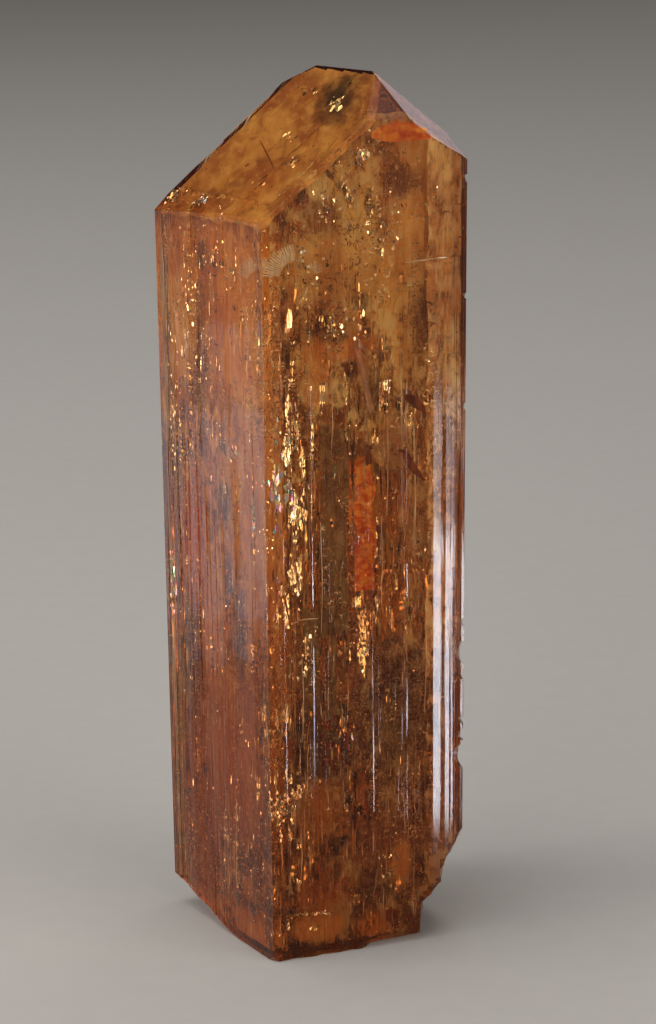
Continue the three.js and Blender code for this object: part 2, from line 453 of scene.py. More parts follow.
def crystal_body():
    body = put("crystal_body", prism_mesh(random.Random(21)))
    worn = [edge_between(*edge) for edge in WORN_EDGES] + [WORN_FRONT_EDGE]
    for plane in list(CROWN.values()) + worn:
        combine(body, block(*plane))
    cells = 150
    combine(body, block(*BASE, BROKEN, size=3.0, seed=5, span=60.0, cells=cells))
    for i, plane in enumerate(UNDERSIDE):
        combine(body, block(*plane, BROKEN, size=1.8, seed=11 + i, span=60.0, cells=cells))
    for i, step in enumerate(BREAK_STEPS):
        combine(body, step_cutter(*step, 31 + 4 * i, 0.28))
    for i, step in enumerate(CLEAVAGE_STEPS):
        combine(body, step_cutter(*step, 51 + 4 * i, 0.05))
    for i, (centre, size) in enumerate(HOLLOWS):
        combine(body, lump(centre, size, 70 + i))
    for i, (height, half, depth) in enumerate(CORNER_CHIPS):
        corner = corners_at(height)[2]
        centre = (corner.x + depth * 0.5, corner.y, height)
        combine(body, lump(centre, (depth * 1.5, depth * 1.5, half), 90 + i, 0.5, 3))
    mark_faces(body.data)
    body.data.transform(INTO_FRAME)
    body.data.shade_smooth()
    body.data.set_sharp_from_angle(angle=math.radians(5))
    return body


# ---- Materials ----


class Wire:
    """A socket of a material, with arithmetic that adds Math nodes."""

    def __init__(self, paint, socket):
        self.paint = paint
        self.socket = socket

    def math(self, operation, *others):
        values = dict(enumerate((self, *others)))
        return self.paint.node("ShaderNodeMath", {"operation": operation}, values)

    def __add__(self, other):
        return self.math("ADD", other)

    __radd__ = __add__

    def __mul__(self, other):
        return self.math("MULTIPLY", other)

    __rmul__ = __mul__

    def __sub__(self, other):
        return self.math("SUBTRACT", other)

    def __rsub__(self, other):
        return (self * -1) + other

    def step(self, low, high):
        """0 below low, 1 above high, smooth between."""
        return self.paint.node(
            "ShaderNodeMapRange",
            {"interpolation_type": "SMOOTHSTEP"},
            {"Value": self, "From Min": low, "From Max": high},
        )


class Paint:
    """A material whose nodes are added one call at a time."""

    def __init__(self, name):
        self.material = bpy.data.materials.new(name)
        self.material.use_nodes = True
        self.tree = self.material.node_tree
        self.tree.nodes.clear()

    def node(self, kind, settings=None, sockets=None, out=0):
        node = self.tree.nodes.new(kind)
        for key, value in (settings or {}).items():
            if key == "stops":
                ramp = node.color_ramp
                while len(ramp.elements) < len(value):
                    ramp.elements.new(0.5)
                for element, (at, tint) in zip(ramp.elements, value):
                    element.position = at
                    element.color = (*tint, 1.0)
            else:
                setattr(node, key, value)
        for key, value in (sockets or {}).items():
            if isinstance(value, Wire):
                self.tree.links.new(value.socket, node.inputs[key])
            else:
                node.inputs[key].default_value = value
        return Wire(self, node.outputs[out]) if node.outputs else None

    def place(self, x=1.0, y=1.0, z=1.0):
        """Object coordinates in mm, stretched by the three factors."""
        spot = self.node("ShaderNodeTexCoord", out=3)
        scale = (x / MM, y / MM, z / MM)
        return self.node("ShaderNodeVectorMath", {"operation": "MULTIPLY"}, {0: spot, 1: scale})

    def height(self):
        return self.node("ShaderNodeSeparateXYZ", None, {0: self.place()}, out=2)

    def mark(self, name):
        """A value that the mesh carries on its faces."""
        return self.node("ShaderNodeAttribute", {"attribute_name": name}, out=2)

    def away(self, place, centre):
        """The distance from a centre."""
        sockets = {0: place, 1: centre}
        return self.node("ShaderNodeVectorMath", {"operation": "DISTANCE"}, sockets, out=1)

    def cloud(self, fineness, detail=3.0, rough=0.55, twist=0.0):
        """A noise, as fine along x, y and z as asked."""
        return self.node(
            "ShaderNodeTexNoise",
            None,
            {"Vector": self.place(*fineness), "Scale": 1.0, "Detail": detail,
             "Roughness": rough, "Distortion": twist},
        )

    def layers(self, tint, *coats):
        """Coats over a tint: each a share from 0 to 1, and its colour."""
        for share, coat in coats:
            settings = {"data_type": "RGBA", "blend_type": "MIX"}
            tint = self.node("ShaderNodeMix", settings, {0: share, 6: tint, 7: coat}, out=2)
        return tint

    def bump(self, height, strength, distance, **under):
        sockets = {"Height": height, "Strength": strength, "Distance": distance, **under}
        return self.node("ShaderNodeBump", None, sockets)

    def finish(self, sockets, **volume):
        """Closes the material with a principled surface, and a volume if there is one."""
        surface = self.node("ShaderNodeBsdfPrincipled", None, sockets)
        self.node("ShaderNodeOutputMaterial", None, {"Surface": surface, **volume})
        return self.material


def colour(r, g, b):
    """An sRGB colour, 0 to 255, as linear RGBA."""
    def line(c):
        c /= 255
        return c / 12.92 if c <= 0.04045 else ((c + 0.055) / 1.055) ** 2.4
    return (line(r), line(g), line(b), 1.0)


TOPAZ_INDEX = 1.62
TOPAZ_ABSORBS = {"Color": (0.86, 0.54, 0.05, 1.0), "Density": 230.0}
# The crystal reflects less straight on than at a slant, so that its inside stays deep.
TOPAZ_SHEEN = (0.5, 0.4, 0.28, 1.0)


def topaz():
    """See-through crystal, its skin striated upright, its breaks gritty, its big tip satin."""
    paint = Paint("topaz")
    worn = paint.mark("worn")
    satin = paint.mark("satin")
    bevel = paint.mark("bevel")
    upright = 1 - satin
    streak = paint.cloud((3.2, 3.2, 0.3), 4.0, 0.6)
    thread = paint.cloud((8.0, 8.0, 1.1), 2.0, 0.5)
    haze = paint.cloud((0.25, 0.25, 0.18), 4.0, 0.6)
    grit = paint.cloud((5.0, 5.0, 5.0), 5.0, 0.7)
    pool = paint.cloud((0.55, 0.55, 0.13), 3.0, 0.6)
    blot = paint.cloud((1.4, 1.4, 0.45), 4.0, 0.6, 0.3)
    tint = paint.layers(
        colour(204, 156, 116),
        (paint.height().step(8.0, 42.0), colour(255, 242, 216)),
        (pool.step(0.47, 0.58) * upright * 0.75, colour(176, 106, 64)),
        (blot.step(0.5, 0.62) * upright * 0.3, colour(180, 108, 62)),
        (streak.step(0.4, 0.66) * upright * 0.28, colour(244, 190, 132)),
        (thread.step(0.52, 0.72) * upright * 0.4, colour(255, 248, 226)),
        (haze.step(0.5, 0.72) * 0.5, colour(226, 170, 122)),
        (worn * 0.7, colour(255, 232, 204)),
    )
    gloss = haze.step(0.3, 0.8) * 0.05 + satin * 0.1 + worn * (grit * 0.3 + 0.1) + 0.02
    ripple = paint.bump((streak + thread * 0.4) * upright, 0.07, 0.00004)
    ripple = paint.bump(grit * worn, 0.5, 0.00012, Normal=ripple)
    return paint.finish(
        {"Base Color": tint, "Roughness": gloss + bevel * 0.17, "IOR": TOPAZ_INDEX,
         "Transmission Weight": 1.0, "Specular Tint": TOPAZ_SHEEN, "Normal": ripple},
        Volume=paint.node("ShaderNodeVolumeAbsorption", None, TOPAZ_ABSORBS),
    )


def film(name, low, high, rough, metal, spread=1.0, drawn=0.25):
    """A thin inner film, its colour changing from piece to piece and drawn out upwards."""
    paint = Paint(name)
    across = 2.2 * spread
    patch = paint.cloud((across, across, across * drawn))
    grain = paint.cloud((9.0, 9.0, 3.0))
    tint = paint.layers(
        colour(*low),
        (patch.step(0.35, 0.65), colour(*high)),
        (grain.step(0.55, 0.75) * 0.5, colour(*low)),
    )
    return paint.finish(
        {"Base Color": tint, "Roughness": patch * 0.1 + rough, "Metallic": metal,
         "Specular IOR Level": 0.1})


# The smoky spot under the big face of the tip, mm from the middle of the base, its depth
# counted half.
SMOKY_SPOT = (2.6, 0.0, 56.2)


def cloudy_film():
    """A healed crack full of fine drops: soft amber clouds, smoky at one place."""
    paint = Paint("cloudy_film")
    broad = paint.cloud((0.26, 0.11, 0.26), 3.0, 0.5, 0.4)
    soft = paint.cloud((0.9, 0.38, 0.9), 4.0, 0.55, 0.5)
    rays = paint.cloud((2.2, 0.9, 2.2), 4.0, 0.6, 0.8)
    smoke = 1 - (paint.away(paint.place(1.0, 0.5, 1.0), SMOKY_SPOT) + soft * 3.4).step(2.2, 4.6)
    tint = paint.layers(
        colour(184, 112, 50),
        (broad.step(0.38, 0.62), colour(226, 166, 82)),
        (soft.step(0.5, 0.7) * 0.55, colour(246, 196, 108)),
        ((1 - soft).step(0.5, 0.7) * 0.6, colour(140, 72, 32)),
        (rays.step(0.56, 0.7) * 0.22, colour(255, 222, 150)),
        (smoke * 0.92, colour(64, 50, 28)),
    )
    return paint.finish(
        {"Base Color": tint, "Roughness": soft * 0.3 + 0.3, "Specular IOR Level": 0.2})


def haze_and_painted_light_film(name, face, tints, cover, contrast=1.0, zones=()):
    """Fine healed specks close together: soft clouds that let the crystal show between them.

    The tints are deep, warm, pale, and the one low down. The cover is how dense the haze is
    low, at mid height and high. Each zone is a place along the face and its height, two
    half-lengths, a tint, and how much denser the haze is there. Some zones are painted
    light: a sheen and a glow at the foot. The pale curved lines are partly outlines of
    healed cracks and partly painted glints.
    """
    paint = Paint(name)
    deep, warm, pale, foot = (colour(*tint) for tint in tints)
    low, middle, top = cover
    height = paint.height()
    broad = paint.cloud((0.3, 0.3, 0.14), 4.0, 0.6, 0.3)
    patchy = paint.cloud((0.9, 0.9, 0.6), 5.0, 0.65, 0.6)
    drawn = paint.cloud((3.4, 3.4, 0.7), 3.0, 0.6)
    # Pale curved lines come from this noise: partly outlines of healed cracks, partly painted glints.
    curl = paint.cloud((1.5, 1.5, 1.2), 4.0, 0.6, 1.4)
    rim = (curl - 0.5).math("ABSOLUTE")
    grain = paint.cloud((6.0, 6.0, 5.0), 3.0, 0.6)
    light = height.step(6.0, 40.0) * 0.6 + 0.4
    tint = paint.layers(
        deep,
        (broad.step(0.42, 0.58), warm),
        ((1 - height.step(10.0, 42.0)) * 0.75, foot),
        (patchy.step(0.48, 0.6) * light * (0.8 * contrast), pale),
        ((1 - patchy).step(0.5, 0.62) * (0.9 * contrast), foot),
    )
    share = (1 - height.step(14.0, 26.0)) * (low - middle)
    share = share + height.step(32.0, 44.0) * (top - middle)
    for along, rise, reach, tall, zone_tint, denser in zones:
        centre = under(face, along, rise, 1.5) + TO_FRAME
        shape = Vector((1 / reach, 0.5 / reach, 1 / tall))
        there = paint.away(paint.place(*shape), centre * shape)
        inside = 1 - (there + patchy * 1.6 - 0.8).step(0.45, 1.25)
        tint = paint.layers(tint, (inside * 0.8, colour(*zone_tint)))
        share = share + inside * denser
    tint = paint.layers(
        tint,
        (drawn.step(0.5, 0.66) * light * 0.3, pale),
        ((1 - rim.step(0.004, 0.022)) * light * (0.5 * contrast), pale),
        (grain.step(0.55, 0.7) * light * (0.6 * contrast), pale),
    )
    spread = broad * 0.8 + patchy * 1.1 + drawn * 0.3 + curl * 0.3
    alpha = (spread + share * 0.5 + (middle * 0.5 - 1.5)).step(-0.12, 0.12)
    return paint.finish(
        {"Base Color": tint, "Roughness": 0.5, "Specular IOR Level": 0.2, "Alpha": alpha})


# Colours that a thin air film goes through, each with the place where it is purest.
RAINBOW = [(0.30, (0.9, 0.95, 0.8)), (0.40, (0.15, 0.85, 0.75)), (0.48, (0.95, 0.35, 0.85)),
           (0.55, (0.95, 0.9, 0.3)), (0.62, (0.3, 0.55, 1.0)), (0.72, (1.0, 0.6, 0.9))]


def rainbow_film():
    """An air film thin enough to split light into colours."""
    paint = Paint("rainbow_film")
    drift = paint.cloud((1.3, 1.3, 0.45), 2.0, 0.5)
    tint = paint.node("ShaderNodeValToRGB", {"stops": RAINBOW}, {"Fac": drift})
    return paint.finish({"Base Color": tint, "Roughness": drift * 0.2 + 0.05, "Metallic": 0.75})


# Films with one sheen all over: dark and light tint, roughness, metal, how fine the patches
# are, and how short they are drawn.
FILMS = {
    "golden_film": ((160, 108, 60), (248, 214, 156), 0.12, 0.9, 0.6),
    "silky_film": ((146, 86, 40), (252, 220, 160), 0.32, 0.5, 0.4),
    "pale_film": ((206, 168, 124), (250, 232, 204), 0.3, 0.2, 0.6),
    "cream_film": ((246, 216, 164), (255, 246, 220), 0.12, 1.0),
    "amber_film": ((190, 120, 66), (244, 190, 126), 0.36, 0.5, 0.5),
    "umber_film": ((52, 20, 8), (110, 50, 20), 0.4, 0.1),
    "rust_film": ((104, 44, 16), (160, 78, 32), 0.5, 0.0),
    "chalky_film": ((232, 200, 156), (255, 240, 214), 0.5, 0.1),
    "milky_film": ((150, 100, 68), (206, 160, 124), 0.3, 0.2, 0.5),
    "vermilion_film": ((216, 84, 14), (255, 172, 64), 0.35, 0.2, 0.7, 1.6),
    "golden_dust": ((236, 150, 70), (255, 206, 120), 0.6, 0.0, 0.4),
}

LEFT_ZONES = [
    # Painted sheen: this first zone is a pale pink patch where the left face reflects a soft box.
    (3.0, 34.0, 2.6, 9.0, (236, 184, 140), 0.4),
    (7.0, 46.0, 5.0, 4.0, (236, 160, 70), 0.2),
    # Painted glow: a pale golden patch at the foot, standing in for light carried down through the
    # crystal.
    (5.0, 1.2, 5.0, 1.2, (226, 160, 84), 0.2),
    (3.6, 41.0, 3.4, 3.0, (250, 190, 130), 0.3),
    (9.4, 38.0, 0.7, 8.0, (96, 36, 12), 1.0),
    (13.2, 29.0, 0.9, 6.0, (100, 36, 12), 1.0),
    (12.4, 41.0, 1.2, 5.0, (250, 190, 100), 0.5),
    (8.4, 21.0, 1.0, 5.0, (230, 160, 90), 0.4),
    (11.8, 18.0, 1.2, 6.0, (100, 40, 20), 0.5),
    (2.0, 24.0, 1.0, 5.0, (214, 160, 120), 0.3),
    (4.4, 22.0, 0.7, 4.0, (96, 38, 16), 0.9),
    (11.0, 27.0, 1.4, 5.0, (214, 110, 44), 0.2),
    (6.4, 30.6, 0.8, 1.2, (70, 26, 12), 0.4),
    (9.2, 46.9, 0.6, 1.2, (80, 34, 14), 0.4),
    (10.0, 9.0, 3.0, 7.0, (168, 92, 44), 0.1),
    (5.0, 13.0, 3.4, 6.0, (206, 134, 72), 0.2),
]

RIGHT_ZONES = [
    (5.5, 46.8, 4.4, 2.6, (255, 206, 120), 0.4),
    (11.0, 50.0, 2.6, 6.0, (250, 184, 92), 0.3),
    (5.0, 41.6, 2.6, 0.9, (255, 160, 60), 0.5),
    (6.6, 44.6, 0.7, 0.7, (90, 30, 10), 1.0),
    (4.7, 42.4, 1.0, 0.6, (96, 34, 12), 1.0),
    (9.6, 52.4, 1.6, 1.3, (130, 52, 18), 0.6),
    (3.6, 50.4, 1.6, 1.6, (150, 70, 26), 0.5),
    (11.4, 43.0, 1.4, 2.6, (150, 90, 50), 0.3),
    (3.2, 39.6, 1.2, 2.6, (236, 160, 76), 0.6),
    (7.4, 38.4, 0.7, 2.4, (120, 50, 20), 0.8),
    (1.2, 20.0, 1.2, 4.0, (190, 110, 60), 0.6),
    (6.0, 18.6, 0.8, 2.0, (150, 60, 20), 0.8),
    (3.0, 9.8, 1.8, 2.6, (196, 120, 64), 0.4),
    (9.0, 34.7, 1.5, 1.8, (216, 170, 124), 1.0),
    (10.4, 28.0, 1.4, 5.5, (200, 140, 90), 0.7),
    (8.8, 16.5, 3.2, 5.6, (82, 26, 12), 0.9),
    (5.0, 14.0, 1.8, 2.0, (96, 38, 16), 1.0),
    (8.6, 7.0, 3.0, 3.0, (134, 62, 26), 0.5),
    (3.0, 4.0, 3.0, 3.0, (190, 106, 48), 0.3),
    # Painted glow: these two pale golden patches at the foot stand in for light carried down through
    # the crystal.
    (3.4, 1.6, 2.4, 1.1, (250, 186, 104), 0.5),
    (7.4, 1.2, 1.6, 1.0, (236, 160, 80), 0.4),
    (9.4, 5.4, 0.8, 1.8, (255, 190, 100), 0.5),
]

# Hazes and the light painted into them: the face they lie behind, four tints, cover, contrast and
# zones.
HAZES_AND_PAINTED_LIGHT = {
    "left_haze_film": (
        "left", ((190, 108, 40), (222, 144, 64), (244, 192, 112), (112, 50, 18)),
        (0.65, 0.6, 0.9), 1.25, LEFT_ZONES),
    "right_haze_film": (
        "right", ((214, 126, 48), (255, 204, 112), (255, 240, 176), (110, 44, 16)),
        (0.35, 0.06, 0.76), 1.0, RIGHT_ZONES),
    "bevel_haze_film": (
        "bevel", ((226, 150, 80), (255, 204, 126), (255, 236, 184), (140, 76, 38)),
        (0.5, 0.6, 0.95), 0.7),
    "deep_haze_film": (
        "right", ((200, 104, 36), (240, 160, 80), (255, 214, 140), (96, 36, 14)),
        (0.6, 0.3, 0.9)),
    # Painted shade: olive sheets standing in for the dark background seen through clear windows.
    "painted_backdrop_film": (
        "right", ((138, 98, 50), (160, 122, 66), (206, 176, 112), (92, 54, 26)),
        (1.1, 0.9, 0.9), 0.5),
}


# ---- Inside the crystal ----

# The way inward that each face shows straight behind a point of it.
INWARD = {
    "right": Vector((-0.163, 0.976, -0.145)),
    "left": Vector((0.476, 0.867, -0.145)),
    "bevel": Vector((-0.7, 0.7, 0.0)),
    "big": Vector((0.3235, 0.749, -0.578)),
}
# The level way along each upright face, from its front edge.
ALONG = {
    "right": facing(RIGHT_FACE["azimuth"] + 90),
    "left": facing(LEFT_FACE["azimuth"] - 90),
    "bevel": facing(BEVEL_FACE["azimuth"] + 90),
}
# Which way the pieces behind each face mostly turn, as azimuth and tilt.
CATCHING = {"right": (13.0, 81.0), "left": (-39.0, 81.0), "big": (-39.0, 42.0)}
GROWN_SHARE = 0.85
GROWN_LEAN = 0.16
# Clearer zones: x from and to, height from and to in mm, share of the pieces kept there.
CLEARER = [(-9.0, -0.4, 0.0, 50.0, 0.25), (2.9, 5.2, 22.0, 40.0, 0.35),
           (2.6, 12.5, 1.0, 20.0, 0.2), (5.6, 7.0, 24.5, 34.5, 0.25),
           (8.5, 13.0, 38.0, 46.0, 0.5)]
# Nothing inside comes nearer the base than this plane.
INNER_BASE = (0.0, 180.0, 0.1)
# Rows of points along a thread or a curl.
ROWS = 6


def side_planes():
    """Level normal, distance at height 0 and its growth per mm, for the five sides."""
    low = corners_at(0.0)
    high = corners_at(60.0)
    sides = []
    for azimuth, corner in ((RIGHT_FACE["azimuth"], 0), (BEVEL_FACE["azimuth"], 1),
                            (BACK_RIGHT_AZIMUTH, 2), (BACK_LEFT_AZIMUTH, 4),
                            (LEFT_FACE["azimuth"], 0)):
        normal = facing(azimuth)
        start = normal.dot(low[corner])
        sides.append((normal, start, (normal.dot(high[corner]) - start) / 60.0))
    return sides


def within(points, margin):
    """For an array of points in mm: where they lie inside the crystal by the margin."""
    x, y, z = points.T
    kept = np.ones(len(points), bool)
    for normal, start, growth in side_planes():
        kept &= x * normal.x + y * normal.y < start + growth * z - margin - 0.3
    for azimuth, tilt, distance in (*CROWN.values(), *UNDERSIDE, INNER_BASE):
        kept &= points @ np.array(normal_of(azimuth, tilt)) < distance - margin - 0.15
    for centre, size in HOLLOWS:
        kept &= np.linalg.norm((points - centre) / np.array(size), axis=1) > 1.2
    for side, roof in BREAK_STEPS:
        beyond = [(points - point) @ np.array(normal_of(a, t)) for a, t, point in (side, roof)]
        kept &= np.minimum(*beyond) < -0.4 - margin
    return kept


def clumped(points, seed, fine, tall, gap):
    """Where a soft upright noise is above the gap, so that pieces gather in groups."""
    shift = Vector((seed * 3.7, seed * 1.3, seed * 5.1))
    value = []
    for x, y, z in points:
        spot = Vector((x * fine, y * fine, z * tall))
        value.append(noise.noise(spot + shift) + 0.9 * noise.noise(spot * 0.3 + shift * 2))
    return points[np.array(value) > gap]


def thinned(draw, points):
    """Drops most of the points that lie in the clearer zones."""
    kept = np.ones(len(points), bool)
    for first, last, low, high, share in CLEARER:
        soft = draw.normal(0, 0.4, (len(points), 2))
        x = points[:, 0] + soft[:, 0]
        z = points[:, 2] + soft[:, 1] * 2
        inside = (x > first) & (x < last) & (z > low) & (z < high)
        kept &= ~inside | (draw.uniform(0, 1, len(points)) < share)
    return points[kept]


def throughout(seed, count, low, high, clump, shell=0):
    """Points through the whole crystal, in groups, and near its faces if there is a shell."""
    draw = np.random.RandomState(seed)
    found = np.zeros((0, 3))
    while len(found) < count:
        batch = draw.uniform((-9.0, -0.5, low), (14.0, 20.0, high), (count * 2, 3))
        found = np.vstack([found, batch[within(batch, 0.15)]])
    mid = clumped(thinned(draw, found[:count]), seed, *clump)
    return mid[~within(mid, shell)] if shell else mid


def close_behind(seed, face, count, low, high, deepest, clump):
    """Points close behind an upright face, in groups, most of them near the face."""
    draw = np.random.RandomState(seed)
    along = draw.uniform(0.0, 14.5, count)
    height = draw.uniform(low, high, count)
    depth = 0.2 + deepest * draw.uniform(0, 1, count) ** 1.5
    mid = np.outer(along, (*ALONG[face], 0.0)) + np.outer(depth, INWARD[face])
    mid[:, 2] += height
    mid = clumped(mid, seed, *clump)
    return mid[within(mid, -0.1)]


def to_piece(name, points, faces, material, soft=False):
    mesh = bpy.data.meshes.new(name)
    mesh.from_pydata(points, [], faces)
    mesh.transform(INTO_FRAME)
    mesh.materials.append(material)
    if soft:
        mesh.shade_smooth()
    piece = put(name, mesh)
    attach(piece, "root")


def ladder(first):
    """Faces between the pairs of points of a thread or a curl."""
    return [(a, a + 1, a + 3, a + 2) for a in range(first, first + 2 * ROWS - 2, 2)]


def turns(draw, mid, spread):
    """Which way each sliver faces: most of them roughly along the growth planes."""
    own = np.where(mid[:, 0] < 0, CATCHING["left"][0], CATCHING["right"][0])
    grown = np.radians(own + draw.normal(0, spread, len(mid)))
    loose = draw.uniform(0, math.pi, len(mid))
    is_grown = draw.uniform(0, 1, len(mid)) < GROWN_SHARE
    return np.where(is_grown, grown, loose), np.where(is_grown, GROWN_LEAN, 0.0)


def threads(name, material, seed, mid, width, length):
    """Slender upright slivers, each turned its own way."""
    draw = np.random.RandomState(seed + 500)
    total = len(mid)
    half = length * draw.uniform(0.12, 1.0, total) ** 2 / 2
    lean = draw.normal(0, 0.014, (total, 2))
    turn, tip_back = turns(draw, mid, 16)
    broad = width * draw.uniform(0.35, 1.3, total)
    sway = draw.normal(0, 0.6, (total, 2))
    face_on = np.column_stack([-np.sin(turn), np.cos(turn), np.zeros(total)])
    points = np.zeros((total, ROWS, 2, 3))
    for k in range(ROWS):
        t = 2 * k / (ROWS - 1) - 1
        swing = (t * t - 0.5) * sway * broad[:, None]
        spot = mid + np.column_stack([lean * (t * half)[:, None] + swing, t * half])
        spot += face_on * ((tip_back * t + draw.normal(0, 0.07, total)) * half)[:, None]
        reach = broad * (1.02 - t * t) * draw.uniform(0.6, 1.2, total)
        arm = np.column_stack([np.cos(turn) * reach, np.sin(turn) * reach, np.zeros(total)])
        points[:, k, 0] = spot - arm
        points[:, k, 1] = spot + arm
    kept = within(points.reshape(-1, 3), 0.0).reshape(total, -1).all(axis=1)
    points = points[kept].reshape(-1, 3).tolist()
    faces = [face for first in range(0, len(points), 2 * ROWS) for face in ladder(first)]
    to_piece(name, points, faces, material, True)


def specks(name, material, seed, mid, size, tall):
    """Tiny chips of light, three- or four-sided."""
    draw = np.random.RandomState(seed + 500)
    points = []
    faces = []
    for spot, turn, lean in zip(mid, *turns(draw, mid, 24)):
        reach = size * draw.uniform(0.3, 1.0) ** 1.5
        tip = draw.normal(0, 0.3)
        back = draw.normal(lean, 0.25)
        corners = 3 + (draw.uniform() < 0.5)
        faces.append(tuple(range(len(points), len(points) + corners)))
        for k in range(corners):
            a = FULL_TURN * (k + draw.uniform(-0.25, 0.25)) / corners
            level = math.cos(a) * reach
            rise = math.sin(a) * reach * tall
            sink = rise * back
            points.append((spot[0] + level * math.cos(turn) - sink * math.sin(turn),
                           spot[1] + level * math.sin(turn) + sink * math.cos(turn),
                           spot[2] + rise + tip * level))
    to_piece(name, points, faces, material)


def leaning(way, wobble):
    """The normal, side and top of a piece turned roughly the way that a face catches light."""
    face = (normal_of(*CATCHING[way]) + Vector(wobble)).normalized()
    side = face.cross(Vector((0, 0, 1))).normalized()
    return face, side, side.cross(face)


def curls(name, material, seed, mid, size):
    """Small crescents of foil, each tilted a little its own way and slightly warped."""
    draw = np.random.RandomState(seed + 500)
    points = []
    faces = []
    for spot in mid:
        face, side, top = leaning("left" if spot[0] < 0 else "right", draw.normal(0, 0.22, 3))
        radius = size * draw.uniform(0.5, 1.6)
        broad = size * draw.uniform(0.12, 0.4)
        sweep = draw.uniform(0.8, 2.6)
        start = draw.uniform(0, FULL_TURN)
        warp = draw.normal(0, 0.25)
        middle = side * math.cos(start) + top * math.sin(start)
        faces += ladder(len(points))
        for k in range(ROWS):
            t = 2 * k / (ROWS - 1) - 1
            a = start + sweep * t / 2
            out = side * math.cos(a) + top * math.sin(a)
            reach = broad * (1.05 - t * t)
            place = Vector(spot) + (out - middle) * radius + face * (warp * t * t * radius)
            points.append(tuple(place - out * reach))
            points.append(tuple(place + out * reach + face * (warp * reach)))
    to_piece(name, points, faces, material, True)


def under(face, along, height, depth):
    """The point that shows behind a place on an upright face, at a depth in mm."""
    level = ALONG[face] * along
    return Vector((level.x, level.y, height)) + INWARD[face] * depth


def behind(x, y, z, depth):
    """The point that shows behind a point of the big face of the tip, at a depth in mm."""
    return Vector((x, y, z)) + INWARD["big"] * depth


def patch(face, first, last, low, high, depth, slope=0.0, lean=0.0):
    """Corner and two edges of a patch behind an upright face."""
    corner = under(face, first, low, depth)
    across = under(face, last, low, depth + slope) - corner
    up = under(face, first, high, depth + lean * (high - low)) - corner
    return corner, across, up


def bent(points, steps=5):
    """A smooth path through three or more points."""
    path = []
    last = len(points) - 1
    for i in range(last):
        p0, p1, p2, p3 = (points[min(max(i + n, 0), last)] for n in (-1, 0, 1, 2))
        for k in range(steps):
            t = k / steps
            a = p1 * 2 + (p2 - p0) * t
            b = (p0 * 2 - p1 * 5 + p2 * 4 - p3) * t * t
            c = (p1 * 3 - p0 - p2 * 3 + p3) * t * t * t
            path.append((a + b + c) * 0.5)
    path.append(points[-1])
    return path


